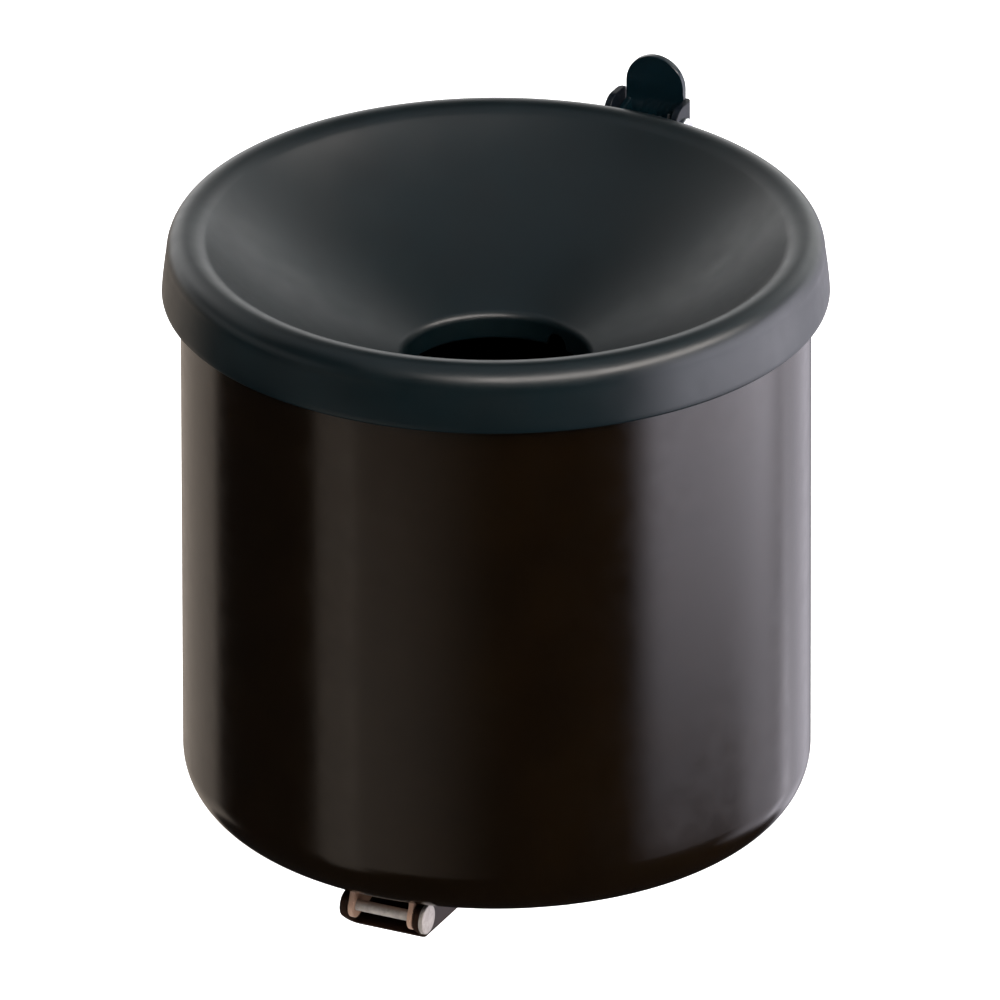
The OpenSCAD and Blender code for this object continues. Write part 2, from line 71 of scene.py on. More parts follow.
SHEET = 0.9 * MM  # the bin's and the lid's sheet
ROLL_R = 1.3 * MM  # the bin's rolled rim
CORNER_R = 15 * MM  # large radius of the bin's bottom corner
HEEL_R = 6 * MM  # small radius that blends the corner into the flat bottom
HEEL_TURN = 64.3  # degrees at which the corner hands over to the heel

FOLD_INSET = 1.7 * MM  # the lid's fold centre, inside the bin's outside radius
FOLD_OUT = 5.3 * MM
FOLD_IN = 6.5 * MM
FOLD_RISE = 6.2 * MM
FOLD_TURN = 50  # degrees that the inner quarter of the fold turns
SKIRT_H = 10.3 * MM
HOLE_R = 23.7 * MM
HOLE_DROP = 20 * MM
HOLE_SLOPE = 25
HOLE_FILLET_R = 2.6 * MM
NECK_L = 4.6 * MM
NOTCH_R = 3.3 * MM
NOTCH_TURN = 15  # degrees from the back towards the right

PLATE_T = 2 * MM
PLATE_CORNER_R = 6 * MM
HOLE_INSET_X = 6 * MM
HOLE_INSET_Z = 11.6 * MM
WALL_HOLE_R = 2.75 * MM

ARM_FLANGE_T = 1.9 * MM
ARM_WEB_T = 1.5 * MM
ARM_EAR_R = 3.6 * MM
ARM_DROP = 7 * MM
WEB_SETBACK = 3 * MM

HINGE_PIN_R = 1.45 * MM
HEAD_T = 1.2 * MM
BRACKET_T = 1.4 * MM
BRACKET_EAR_R = 3.3 * MM

LATCH_PIN_R = 2 * MM
EARS_T = 1.8 * MM
EARS_CORNER_R = 4.5 * MM
TAB_UP = 17.6 * MM
TAB_T = 1.8 * MM
TAB_OUT = 1.5 * MM
CHEEK_T = 1.5 * MM
CHEEK_R = 3.5 * MM
WIRE_R = 0.4 * MM
COIL_TURNS = 5
COIL_HALF_L = 4.5 * MM

# Places that the frame gives
body_lo, body_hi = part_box("body_shell")
lid_lo, lid_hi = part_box("funnel_lid")
axis_y = (lid_lo.y + lid_hi.y) / 2
body_r = body_hi.x - ROLL_R
bottom_z = body_lo.z
roll_z = body_hi.z - ROLL_R
skirt_r = lid_hi.x
skirt_z = lid_hi.z - SKIRT_H - FOLD_RISE


def middle(node):
    low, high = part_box(node)
    return (low + high) / 2


hinge = middle("hinge_pin")
latch = middle("latch_pin")


# ---------------------------------------------------------------- outlines


def arc(centre, rx, ry, start, end, count):
    """Points of an elliptic arc from angle start to angle end, in degrees."""
    points = []
    for i in range(count + 1):
        a = math.radians(start + (end - start) * i / count)
        points.append((centre[0] + rx * math.cos(a), centre[1] + ry * math.sin(a)))
    return points


def bezier(p0, p1, p2, p3, count):
    """Points of a cubic curve, without its two ends."""
    points = []
    for i in range(1, count):
        t = i / count
        s = 1 - t
        weights = (s**3, 3 * s * s * t, 3 * s * t * t, t**3)
        points.append(tuple(sum(w * p[k] for w, p in zip(weights, (p0, p1, p2, p3))) for k in (0, 1)))
    return points


def heading(path, i):
    a = Vector(path[max(i - 1, 0)])
    b = Vector(path[min(i + 1, len(path) - 1)])
    return (b - a).normalized()


def sheet_outline(path, thickness, cap=4):
    """The closed outline of a sheet on the left of the path, with rounded ends."""
    left = []
    for i, point in enumerate(path):
        v = heading(path, i)
        left.append((point[0] - thickness * v.y, point[1] + thickness * v.x))

    def rounded(a, b):
        """A half round from point a to point b that bulges to the right of a to b."""
        a, b = Vector(a), Vector(b)
        centre = (a + b) / 2
        u = a - centre
        side = Vector((u.y, -u.x)) * -1
        turn = [math.pi * k / (cap + 1) for k in range(1, cap + 1)]
        return [tuple(centre + u * math.cos(t) + side * math.sin(t)) for t in turn]

    return path + rounded(path[-1], left[-1]) + left[::-1] + rounded(left[0], path[0])


def round_corners(corners, count=6):
    """A closed outline from (x, y, radius) corners."""
    points = []
    total = len(corners)
    for i, (x, y, radius) in enumerate(corners):
        here = Vector((x, y))
        before = (Vector(corners[i - 1][:2]) - here).normalized()
        after = (Vector(corners[(i + 1) % total][:2]) - here).normalized()
        if radius == 0:
            points.append((x, y))
            continue
        half = before.angle(after) / 2
        reach = radius / math.tan(half)
        centre = here + (before + after).normalized() * (radius / math.sin(half))
        start = here + before * reach - centre
        turn = start.angle_signed(here + after * reach - centre)
        for k in range(count + 1):
            a = -turn * k / count
            c, s = math.cos(a), math.sin(a)
            points.append((centre.x + start.x * c - start.y * s, centre.y + start.x * s + start.y * c))
    return points


def circle(x, y, radius, count=48):
    return arc((x, y), radius, radius, 0, 360 - 360 / count, count - 1)


# ---------------------------------------------------------------- meshes


def new_piece(name, mesh):
    piece = bpy.data.objects.new(name, mesh)
    bpy.context.scene.collection.objects.link(piece)
    return piece


def from_bmesh(name, bm, smooth=True):
    bmesh.ops.recalc_face_normals(bm, faces=bm.faces)
    mesh = bpy.data.meshes.new(name)
    bm.to_mesh(mesh)
    bm.free()
    if smooth:
        mesh.shade_smooth()
    return new_piece(name, mesh)


def lathe(name, outline, place=Matrix.Identity(4), turns=256, shape=None, sharp=50):
    """Turns a closed (radius, z) outline round Z. shape(radius, z, angle) may move a point."""
    bm = bmesh.new()
    rings = []
    for radius, z in outline:
        if radius < 1e-7:
            rings.append([bm.verts.new((0, 0, z))] * turns)
            continue
        ring = []
        for k in range(turns):
            a = 2 * math.pi * k / turns
            r, h = (radius, z) if shape is None else shape(radius, z, a)
            ring.append(bm.verts.new((r * math.cos(a), r * math.sin(a), h)))
        rings.append(ring)
    for i, ring in enumerate(rings):
        other = rings[(i + 1) % len(rings)]
        for k in range(turns):
            corners = [ring[k], ring[(k + 1) % turns], other[(k + 1) % turns], other[k]]
            corners = list(dict.fromkeys(corners))
            if len(corners) > 2:
                bm.faces.new(corners)
    bm.transform(place)
    piece = from_bmesh(name, bm)
    piece.data.set_sharp_from_angle(angle=math.radians(sharp))
    return piece


def prism(name, outlines, low, high, place):
    """A plate between low and high on its local Z, whose outlines are drawn in its local X and Y."""
    bm = bmesh.new()
    loops = []
    for points in outlines:
        verts = [bm.verts.new((x, y, low)) for x, y in points]
        edges = [bm.edges.new((verts[i - 1], verts[i])) for i in range(len(verts))]
        loops.extend(edges)
    filled = bmesh.ops.triangle_fill(bm, use_beauty=True, use_dissolve=False, edges=loops)
    faces = [g for g in filled["geom"] if isinstance(g, bmesh.types.BMFace)]
    grown = bmesh.ops.extrude_face_region(bm, geom=faces)
    top = [g for g in grown["geom"] if isinstance(g, bmesh.types.BMVert)]
    bmesh.ops.translate(bm, verts=top, vec=(0, 0, high - low))
    bm.transform(place)
    return from_bmesh(name, bm, smooth=False)


# Where a plate's local axes point: ALONG_X draws in Y and Z, ALONG_Y in X and Z, ALONG_Z in X and Y
ALONG_X = Matrix(((0, 0, 1, 0), (1, 0, 0, 0), (0, 1, 0, 0), (0, 0, 0, 1)))
ALONG_Y = Matrix(((1, 0, 0, 0), (0, 0, 1, 0), (0, 1, 0, 0), (0, 0, 0, 1)))
ALONG_Z = Matrix.Identity(4)


def baked(piece):
    """Puts a piece's modifiers into its mesh."""
    graph = bpy.context.evaluated_depsgraph_get()
    mesh = bpy.data.meshes.new_from_object(piece.evaluated_get(graph))
    piece.modifiers.clear()
    piece.data = mesh
    return piece


def combine(piece, other, operation):
    """A boolean of two pieces; the second one goes."""
    modifier = piece.modifiers.new("combine", "BOOLEAN")
    modifier.operation = operation
    modifier.solver = "EXACT"
    modifier.object = other
    bpy.context.view_layer.update()
    baked(piece)
    bpy.data.objects.remove(other)
    return piece


def soften(piece, width, segments=3):
    """Rounds a piece's edges as stamping, tumbling and paint leave them."""
    bm = bmesh.new()
    bm.from_mesh(piece.data)
    bmesh.ops.remove_doubles(bm, verts=bm.verts, dist=1e-6)
    bmesh.ops.dissolve_limit(bm, angle_limit=math.radians(0.5), verts=bm.verts, edges=bm.edges)
    bm.to_mesh(piece.data)
    bm.free()
    bevel = piece.modifiers.new("bevel", "BEVEL")
    bevel.width = width
    bevel.segments = segments
    bevel.limit_method = "ANGLE"
    bevel.angle_limit = math.radians(35)
    bevel.use_clamp_overlap = False
    bevel.miter_outer = "MITER_ARC"
    piece.data.shade_smooth()
    normals = piece.modifiers.new("normals", "WEIGHTED_NORMAL")
    normals.weight = 90
    normals.keep_sharp = True
    bpy.context.view_layer.update()
    return baked(piece)


def tube(name, points, radius, sides=12):
    """A round wire along the points."""
    curve = bpy.data.curves.new(name, "CURVE")
    curve.dimensions = "3D"
    curve.bevel_depth = radius
    curve.bevel_resolution = sides // 4
    curve.use_fill_caps = True
    spline = curve.splines.new("POLY")
    spline.points.add(len(points) - 1)
    for target, point in zip(spline.points, points):
        target.co = (*point, 1)
    holder = new_piece(name + "_curve", curve)
    graph = bpy.context.evaluated_depsgraph_get()
    mesh = bpy.data.meshes.new_from_object(holder.evaluated_get(graph))
    bpy.data.objects.remove(holder)
    mesh.shade_smooth()
    return new_piece(name, mesh)


# ---------------------------------------------------------------- materials


class Finish:
    """A Principled material whose textures lie in the piece's own coordinates."""

    def __init__(self, name, **sockets):
        self.material = bpy.data.materials.new(name)
        self.material.use_nodes = True
        self.tree = self.material.node_tree
        self.shader = self.tree.nodes["Principled BSDF"]
        self.place = self.tree.nodes.new("ShaderNodeTexCoord").outputs["Object"]
        for socket, value in sockets.items():
            self.shader.inputs[socket.replace("_", " ")].default_value = value

    def add(self, kind, **settings):
        made = self.tree.nodes.new(kind)
        for name, value in settings.items():
            setattr(made, name, value)
        return made

    def link(self, a, b):
        self.tree.links.new(a, b)

    def noise(self, size, detail=3.0, stretch=None):
        """Noise with features of that size in metres; stretch scales its axes."""
        made = self.add("ShaderNodeTexNoise")
        made.inputs["Scale"].default_value = 1 / size
        made.inputs["Detail"].default_value = detail
        place = self.place
        if stretch:
            mapping = self.add("ShaderNodeMapping")
            mapping.inputs["Scale"].default_value = stretch
            self.link(place, mapping.inputs["Vector"])
            place = mapping.outputs["Vector"]
        self.link(place, made.inputs["Vector"])
        return made.outputs["Fac"]

    def ramp(self, factor, low, high, to_low, to_high):
        made = self.add("ShaderNodeMapRange")
        limits = {"From Min": low, "From Max": high, "To Min": to_low, "To Max": to_high}
        for socket, value in limits.items():
            made.inputs[socket].default_value = value
        self.link(factor, made.inputs["Value"])
        return made.outputs["Result"]

    def two_tone(self, factor, first, second, under=None):
        """Mixes two colours, or a colour over what is already there."""
        made = self.add("ShaderNodeMix", data_type="RGBA")
        self.link(factor, made.inputs["Factor"])
        a, b = [s for s in made.inputs if s.type == "RGBA"]
        if under is None:
            a.default_value = (*first, 1)
        else:
            self.link(under, a)
        b.default_value = (*second, 1)
        out = [s for s in made.outputs if s.type == "RGBA"][0]
        self.link(out, self.shader.inputs["Base Color"])
        return out

    def bump(self, factor, height, before=None):
        made = self.add("ShaderNodeBump")
        made.inputs["Strength"].default_value = 1.0
        made.inputs["Distance"].default_value = height
        self.link(factor, made.inputs["Height"])
        if before is not None:
            self.link(before, made.inputs["Normal"])
        self.link(made.outputs["Normal"], self.shader.inputs["Normal"])
        return made.outputs["Normal"]

    def roughness(self, factor, low, high):
        self.link(self.ramp(factor, 0.3, 0.7, low, high), self.shader.inputs["Roughness"])


PAINT_SPREAD = 0.03  # how far a paint's roughness wanders
STREAK_HEIGHT = 0.004 * MM  # depth of a metal's drawing lines


def shade(colour, amount):
    return tuple(c * amount for c in colour)


def powder_coat(name, colour, rough, grain, grain_height, peel, peel_height, ior):
    """Sprayed paint: slow colour drift, faint dust, a fine grain and a longer orange peel, both in mm."""
    finish = Finish(name, IOR=ior)
    drift = finish.ramp(finish.noise(18 * MM, 2), 0.35, 0.65, 0, 1)
    under = finish.two_tone(drift, shade(colour, 0.88), shade(colour, 1.14))
    dust = finish.ramp(finish.noise(0.5 * MM, 1), 0.72, 0.8, 0, 0.35)
    finish.two_tone(dust, None, shade(colour, 2.6), under)
    finish.roughness(finish.noise(6 * MM, 4), rough - PAINT_SPREAD, rough + PAINT_SPREAD)
    first = finish.bump(finish.noise(peel * MM, 1), peel_height * MM)
    finish.bump(finish.noise(grain * MM, 2), grain_height * MM, first)
    return finish.material


def metal(name, colour, rough, streaks, metallic, spread):
    """Bare or plated metal: drawing lines in the streaks' direction, blotches and patches of darker grime.
    """
    finish = Finish(name, Metallic=metallic)
    lines = finish.noise(1.0, 2, streaks)
    blotch = finish.ramp(finish.noise(1.6 * MM, 3), 0.35, 0.65, 0, 1)
    under = finish.two_tone(blotch, shade(colour, 0.82), shade(colour, 1.1))
    grime = finish.ramp(finish.noise(0.7 * MM, 4), 0.58, 0.72, 0, 0.5)
    finish.two_tone(grime, None, shade(colour, 0.55), under)
    finish.roughness(lines, rough - spread, rough + spread)
    finish.bump(lines, STREAK_HEIGHT)
    return finish.material


def rubber(name, colour):
    finish = Finish(name)
    finish.two_tone(finish.noise(3 * MM, 3), shade(colour, 0.8), shade(colour, 1.5))
    finish.roughness(finish.noise(1 * MM, 3), 0.6, 0.8)
    finish.bump(finish.noise(0.3 * MM, 2), 0.01 * MM)
    return finish.material


def every_material():
    """Each slot's material."""
    # colour, roughness, size and height of the grain, size and height of the orange peel, IOR
    paints = {
        "lid_paint": ((0.0005, 0.0042, 0.0056), 0.36, 0.32, 0.006, 1.4, 0.004, 1.5),
        "body_paint": ((0.0034, 0.0016, 0.0003), 0.18, 0.5, 0.0006, 2.2, 0.0035, 1.5),
        "frame_paint": ((0.004, 0.006, 0.009), 0.22, 0.4, 0.002, 1.6, 0.003, 1.25),
        "arm_paint": ((0.016, 0.008, 0.005), 0.32, 0.4, 0.002, 1.6, 0.003, 1.15),
        "lever_paint": ((0.002, 0.009, 0.013), 0.18, 0.5, 0.001, 2.5, 0.003, 1.5),
        "brown_paint": ((0.35, 0.215, 0.15), 0.42, 0.3, 0.004, 1.2, 0.003, 1.5),
    }
    # colour, roughness, stretch of the drawing lines, metallic, spread of the roughness
    metals = {
        "bare_steel": ((0.36, 0.325, 0.295), 0.46, (150, 6000, 6000), 0.3, 0.12),
        "bright_zinc": ((0.86, 0.88, 0.90), 0.22, (900, 900, 900), 1.0, 0.06),
        "rivet_steel": ((0.45, 0.45, 0.45), 0.38, (900, 900, 900), 1.0, 0.06),
        "spring_steel": ((0.04, 0.04, 0.042), 0.42, (300, 3000, 3000), 0.5, 0.06),
        "clip_steel": ((0.60, 0.60, 0.58), 0.35, (2500, 2500, 200), 1.0, 0.06),
    }
    made = {slot: powder_coat(slot, *values) for slot, values in paints.items()}
    made.update({slot: metal(slot, *values) for slot, values in metals.items()})
    made["buffer_rubber"] = rubber("buffer_rubber", (0.02, 0.02, 0.02))
    return made


MATERIALS = every_material()


def dress(piece, slot):
    piece.data.materials.clear()
    piece.data.materials.append(MATERIALS[slot])
    return piece


def stand_in(piece, node, body, slot):
    """The piece is shown in place of that CAD node."""
    dress(piece, slot)
    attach(piece, body)
    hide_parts(node)


# ---------------------------------------------------------------- the bin

at_axis = Matrix.Translation((0, axis_y, 0))


def bin_shell():
    """The deep-drawn bin: its bottom, up the outside, round the rolled rim and back inside."""
    turn = math.radians(HEEL_TURN)
    flat_r = body_r - CORNER_R + (CORNER_R - HEEL_R) * math.cos(turn)
    corner_z = bottom_z + CORNER_R * math.sin(turn) + HEEL_R * (1 - math.sin(turn))
    heel = (flat_r, bottom_z + HEEL_R)
    corner = (body_r - CORNER_R, corner_z)
    floor = [(flat_r * k / 8, bottom_z) for k in range(8)]
    outside = floor
    outside += arc(heel, HEEL_R, HEEL_R, -90, -HEEL_TURN, 6)
    outside += arc(corner, CORNER_R, CORNER_R, -HEEL_TURN, 0, 24)[1:]
    wall_top = roll_z - ROLL_R * 1.15
    outside += [(body_r, corner_z + (wall_top - corner_z) * k / 24) for k in range(1, 25)]
    roll = arc((body_r, roll_z), ROLL_R, ROLL_R, -72, 180, 22)
    inner_r = body_r - SHEET
    inside = [(inner_r, wall_top - (wall_top - corner_z) * k / 24) for k in range(0, 25)]
    inside += arc(corner, CORNER_R - SHEET, CORNER_R - SHEET, 0, -HEEL_TURN, 24)[1:]
    inside += arc(heel, HEEL_R - SHEET, HEEL_R - SHEET, -HEEL_TURN, -90, 6)
    inside += [(flat_r * k / 8, bottom_z + SHEET) for k in range(7, -1, -1)]
    return lathe("bin_shell", outside + roll + inside, at_axis, turns=320)


stand_in(bin_shell(), "body_shell", "bin", "body_paint")


# ---------------------------------------------------------------- the lid


def lid():
    """The pressed funnel: a flared skirt, a rolled fold, a bowl and a short, notched neck."""
    fold_r = body_r - FOLD_INSET
    fold = (fold_r, skirt_z + SKIRT_H)
    turn = math.radians(FOLD_TURN)
    fold_end = (fold_r - FOLD_IN * math.sin(turn), fold[1] + FOLD_RISE * math.cos(turn))
    fold_slope = math.atan(FOLD_RISE * math.sin(turn) / (FOLD_IN * math.cos(turn)))
    slope = math.radians(HOLE_SLOPE)
    neck_top = skirt_z - HOLE_DROP
    fillet = (HOLE_R + HOLE_FILLET_R, neck_top)
    fillet_end = (fillet[0] - HOLE_FILLET_R * math.sin(slope), neck_top + HOLE_FILLET_R * math.cos(slope))
    pull = 0.36 * (Vector(fold_end) - Vector(fillet_end)).length
    flare = skirt_r - fold_r - FOLD_OUT
    path = [(skirt_r - flare * 0.5 * (k / 8 + (k / 8) ** 1.6), skirt_z + SKIRT_H * k / 8) for k in range(8)]
    path += arc(fold, FOLD_OUT, FOLD_RISE, 0, 90, 24)
    path += arc(fold, FOLD_IN, FOLD_RISE, 90, 90 + FOLD_TURN, 16)[1:]
    path += bezier(
        fold_end,
        (fold_end[0] - pull * math.cos(fold_slope), fold_end[1] - pull * math.sin(fold_slope)),
        (fillet_end[0] + pull * math.cos(slope), fillet_end[1] + pull * math.sin(slope)),
        fillet_end,
        40,
    )
    path += arc(fillet, HOLE_FILLET_R, HOLE_FILLET_R, 90 + HOLE_SLOPE, 180, 12)
    path += [(HOLE_R, neck_top - NECK_L * k / 6) for k in range(1, 7)]
    notch_at = math.pi / 2 - math.radians(NOTCH_TURN)

    def notch(radius, z, angle):
        if z > neck_top or radius > HOLE_R + 2 * SHEET:
            return radius, z
        across = HOLE_R * math.sin(angle - notch_at)
        if math.cos(angle - notch_at) < 0 or abs(across) >= NOTCH_R:
            return radius, z
        cut = math.sqrt(NOTCH_R**2 - across**2)
        return radius, neck_top + (z - neck_top) * (1 - cut / NECK_L)

    return lathe("lid_funnel", sheet_outline(path, SHEET), at_axis, turns=360, shape=notch, sharp=70)


stand_in(lid(), "funnel_lid", "lid", "lid_paint")


# ---------------------------------------------------------------- pins, along X


def along_x(y, z):
    """Takes a shape turned round Z to the line through y and z along X."""
    return Matrix.Translation((0, y, z)) @ Matrix.Rotation(math.pi / 2, 4, "Y")


def headed_pin(name, node, shank_r, dome):
    """A shank with a chamfered tail and a head whose rim is rounded; dome raises the head's middle."""
    low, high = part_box(node)
    head_r = (high.z - low.z) / 2
    tail, top = low.x, high.x
    under = top - HEAD_T
    chamfer = 0.25 * MM
    edge = 0.35 * MM
    face = [(r * head_r * 0.92, top - dome * r * r) for r in (0, 0.25, 0.5, 0.75)]
    rim = arc((head_r - edge, top - edge - dome), edge, edge, 80, 0, 6)
    outline = face + rim + [
        (head_r, under + chamfer / 2),
        (head_r - chamfer / 2, under),
        (shank_r, under),
        (shank_r, tail + chamfer),
        (shank_r - chamfer, tail),
        (0, tail),
    ]
    centre = (low + high) / 2
    return lathe(name, outline, along_x(centre.y, centre.z), turns=72, sharp=40)


stand_in(headed_pin("hinge_rod", "hinge_pin", HINGE_PIN_R, 0.04 * MM), "hinge_pin", "frame", "bare_steel")
stand_in(headed_pin("latch_rod", "latch_pin", LATCH_PIN_R, 0.3 * MM), "latch_pin", "frame", "bright_zinc")


# ---------------------------------------------------------------- hinge bracket under the bin


def channel_section(half_width, top, bottom, thickness, web, bend, up):
    """A U-section in X and Z. up says that the web is at the top; bend is its outer radius."""
    inner = max(bend - thickness, 0.2 * MM)
    far, near = (bottom, top) if up else (top, bottom)
    level = near - web if up else near + web
    inside = half_width - thickness
    return round_corners([
        (-half_width, far, 0), (-half_width, near, bend), (half_width, near, bend), (half_width, far, 0),
        (inside, far, 0), (inside, level, inner), (-inside, level, inner), (-inside, far, 0),
    ])


def hinge_bracket():
    low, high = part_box("hinge_bracket")
    section = channel_section(high.x, high.z, low.z - MM, BRACKET_T, BRACKET_T, 1.9 * MM, True)
    piece = prism("hinge_hanger", [section], low.y - MM, high.y + MM, ALONG_Y)
    back = high.y
    ear = arc((hinge.y, hinge.z), BRACKET_EAR_R, BRACKET_EAR_R, 140, 270, 24)
    side = ear + [
        (hinge.y + 6 * MM, hinge.z - BRACKET_EAR_R + 1.2 * MM),
        (back, high.z - BRACKET_T - MM),
        (back, high.z + MM),
        (low.y + 2.6 * MM, high.z + MM),
    ]
    hole = circle(hinge.y, hinge.z, HINGE_PIN_R + 0.05 * MM)
    cutter = prism("side", [side, hole], low.x - MM, high.x + MM, ALONG_X)
    return soften(combine(piece, cutter, "INTERSECT"), 0.22 * MM)


stand_in(hinge_bracket(), "hinge_bracket", "bin", "brown_paint")


# ---------------------------------------------------------------- support arm


def support_arm():
    low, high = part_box("support_arm")
    floor = hinge.z - ARM_DROP
    section = channel_section(high.x, high.z + MM, floor, ARM_FLANGE_T, ARM_WEB_T, 2.6 * MM, False)
    piece = prism("arm", [section], low.y - MM, high.y + MM, ALONG_Y)
    front = Vector((hinge.y + WEB_SETBACK, floor))
    centre = Vector((hinge.y, hinge.z))
    reach = front - centre
    touch = math.degrees(math.atan2(reach.y, reach.x) - math.acos(ARM_EAR_R / reach.length))
    side = arc(centre, ARM_EAR_R, ARM_EAR_R, touch + 360, 90, 30)
    back = high.y - 0.3 * MM
    side += [(hinge.y + 2 * MM, high.z), (back, high.z), (back, floor), tuple(front)]
    hole = circle(hinge.y, hinge.z, HINGE_PIN_R + 0.02 * MM)
    cutter = prism("side", [side, hole], low.x - MM, high.x + MM, ALONG_X)
    return soften(combine(piece, cutter, "INTERSECT"), 0.3 * MM)


def arm_tab():
    """The end of the arm's web, bent down against the wall plate."""
    low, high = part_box("support_arm")
    floor = hinge.z - ARM_DROP
    inside = high.x - ARM_FLANGE_T
    bend = 2.4 * MM
    profile = round_corners([
        (high.y - 12 * MM, floor, 0), (high.y - ARM_WEB_T, floor, bend - ARM_WEB_T),
        (high.y - ARM_WEB_T, low.z, 0), (high.y, low.z, 0), (high.y, floor + ARM_WEB_T, bend),
        (high.y - 12 * MM, floor + ARM_WEB_T, 0),
    ])
    return prism("tab", [profile], -inside, inside, ALONG_X)


def whole_arm():
    piece = support_arm()
    tab = soften(arm_tab(), 0.25 * MM)
    return combine(piece, tab, "UNION")


stand_in(whole_arm(), "support_arm", "frame", "arm_paint")


# ---------------------------------------------------------------- wall plate and latch bracket


def wall_plate():
    low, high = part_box("wall_plate")
    rim = round_corners([(x, z, PLATE_CORNER_R) for x, z in (
        (low.x, low.z), (high.x, low.z), (high.x, high.z), (low.x, high.z))], 12)
    holes = [
        circle(x * (high.x - HOLE_INSET_X), z * (high.z - HOLE_INSET_Z), WALL_HOLE_R)
        for x in (-1, 1) for z in (-1, 1)
    ]
    return soften(prism("wall_mount", [rim, *holes], low.y, high.y, ALONG_Y), 0.3 * MM)


stand_in(wall_plate(), "wall_plate", "frame", "frame_paint")


def latch_bracket():
    low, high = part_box("latch_bracket")
    bend = 2.3 * MM
    inside = high.x - EARS_T
    section = round_corners([
        (-high.x, low.y - MM, 0), (-inside, low.y - MM, 0), (-inside, high.y - EARS_T, bend - EARS_T),
        (inside, high.y - EARS_T, bend - EARS_T), (inside, low.y - MM, 0), (high.x, low.y - MM, 0),
        (high.x, high.y, bend), (-high.x, high.y, bend),
    ])
    piece = prism("latch_ears", [section], low.z - MM, high.z + MM, ALONG_Z)
    side = round_corners([
        (high.y, low.z, 0), (high.y, high.z, MM), (low.y, high.z, EARS_CORNER_R),
        (low.y, skirt_z - 4 * MM, MM), (high.y - EARS_T - MM, low.z, MM),
    ])
    hole = circle(latch.y, latch.z, LATCH_PIN_R + 0.02 * MM)
    combine(piece, prism("side", [side, hole], low.x - MM, high.x + MM, ALONG_X), "INTERSECT")
    gap = round_corners([
        (-inside, skirt_z + 2.6 * MM, 0.8 * MM), (inside, skirt_z + 2.6 * MM, 0.8 * MM),
        (inside, high.z + 2 * MM, 0), (-inside, high.z + 2 * MM, 0),
    ])
    combine(piece, prism("gap", [gap], high.y - 2 * EARS_T, high.y + MM, ALONG_Y), "DIFFERENCE")
    return soften(piece, 0.25 * MM)


stand_in(latch_bracket(), "latch_bracket", "frame", "frame_paint")


# ---------------------------------------------------------------- latch lever


def latch_lever():
    low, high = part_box("latch_lever")
    width = high.x
    tab_z = skirt_z + TAB_UP
    tab_back = -TAB_OUT
    web_z = skirt_z + 5.5 * MM  # the tab's lower edge
    cheek_top = skirt_z + 12.8 * MM
    face = arc((0, tab_z), width, width, 0, 180, 48) + [(-width, web_z), (width, web_z)]
    piece = prism("thumb_lever", [face], tab_back - TAB_T, tab_back, ALONG_Y)
    nose = Vector((low.y, 0))
    arm_bottom = low.z
    cheek = arc((latch.y, latch.z), CHEEK_R, CHEEK_R, 90, 180, 12) + [
        (latch.y - 2.8 * MM, skirt_z - 0.4 * MM),
        (nose.x, arm_bottom + 4.6 * MM),
        (latch.y - 2 * MM, arm_bottom),
        (latch.y - 0.2 * MM, arm_bottom),
        (-6 * MM, skirt_z + 1.6 * MM),
        (-4.2 * MM, skirt_z + 3.6 * MM),
        (tab_back, web_z),
        (tab_back, cheek_top),
        (tab_back - TAB_T, cheek_top),
    ]
    hole = circle(latch.y, latch.z, LATCH_PIN_R + 0.05 * MM)
    for side in (-1, 1):
        ends = sorted((side * width, side * (width - CHEEK_T)))
        plate = prism("cheek", [cheek, hole], ends[0], ends[1], ALONG_X)
        combine(piece, plate, "UNION")
    return soften(piece, 0.3 * MM, 4)


stand_in(latch_lever(), "latch_lever", "latch", "lever_paint")


# ---------------------------------------------------------------- latch spring


def latch_spring():
    """A torsion spring on the latch pin, with one leg down on the bracket and one up on the lever's tab."""
    coil_r = LATCH_PIN_R + 0.3 * MM + WIRE_R
    steps = 28
    web_y = -PLATE_T - EARS_T - WIRE_R
    points = [
        (-COIL_HALF_L, web_y - 0.1 * MM, latch.z - 10.2 * MM),
        (-COIL_HALF_L, web_y - 0.15 * MM, latch.z - 7 * MM),
        (-COIL_HALF_L, web_y - 0.2 * MM, latch.z - 4 * MM),
    ]
    for i in range(COIL_TURNS * steps + 1):
        a = 2 * math.pi * i / steps
        x = -COIL_HALF_L + 2 * COIL_HALF_L * i / (COIL_TURNS * steps)
        points.append((x, latch.y + coil_r * math.cos(a), latch.z + coil_r * math.sin(a)))
    points += [
        (COIL_HALF_L, latch.y + coil_r + 0.1 * MM, latch.z + 1 * MM),
        (COIL_HALF_L, -TAB_OUT - TAB_T - WIRE_R - 0.3 * MM, latch.z + 2.6 * MM),
    ]
    return tube("latch_coil", points, WIRE_R)


spring = dress(latch_spring(), "spring_steel")
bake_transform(spring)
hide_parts("latch_spring")


# ---------------------------------------------------------------- CAD pieces that are shown as they are

KEPT = {
    "latch_bracket_rivets": "rivet_steel",
    "arm_rivets": "rivet_steel",
    "hinge_bracket_rivets": "rivet_steel",
    "striker_rivets": "rivet_steel",
    "rest_buffer": "buffer_rubber",
    "back_buffer": "buffer_rubber",
    "latch_pin_clip": "bright_zinc",
    "rim_wire": "spring_steel",
    "striker": "frame_paint",
    "lid_clips": "clip_steel",
}
for node, slot_name in KEPT.items():
    dress(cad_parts[node], slot_name)


# ---------------------------------------------------------------- studio

VIEW_AZIMUTH = math.radians(25.8)
VIEW_ELEVATION = math.radians(25.6)
FRAME_WIDTH = 253.5 * MM
LENS = 1500
SENSOR = 36
ROLL = math.radians(0.12)
CENTRE_RIGHT = 0.93 * MM
CENTRE_DOWN = 53.52 * MM

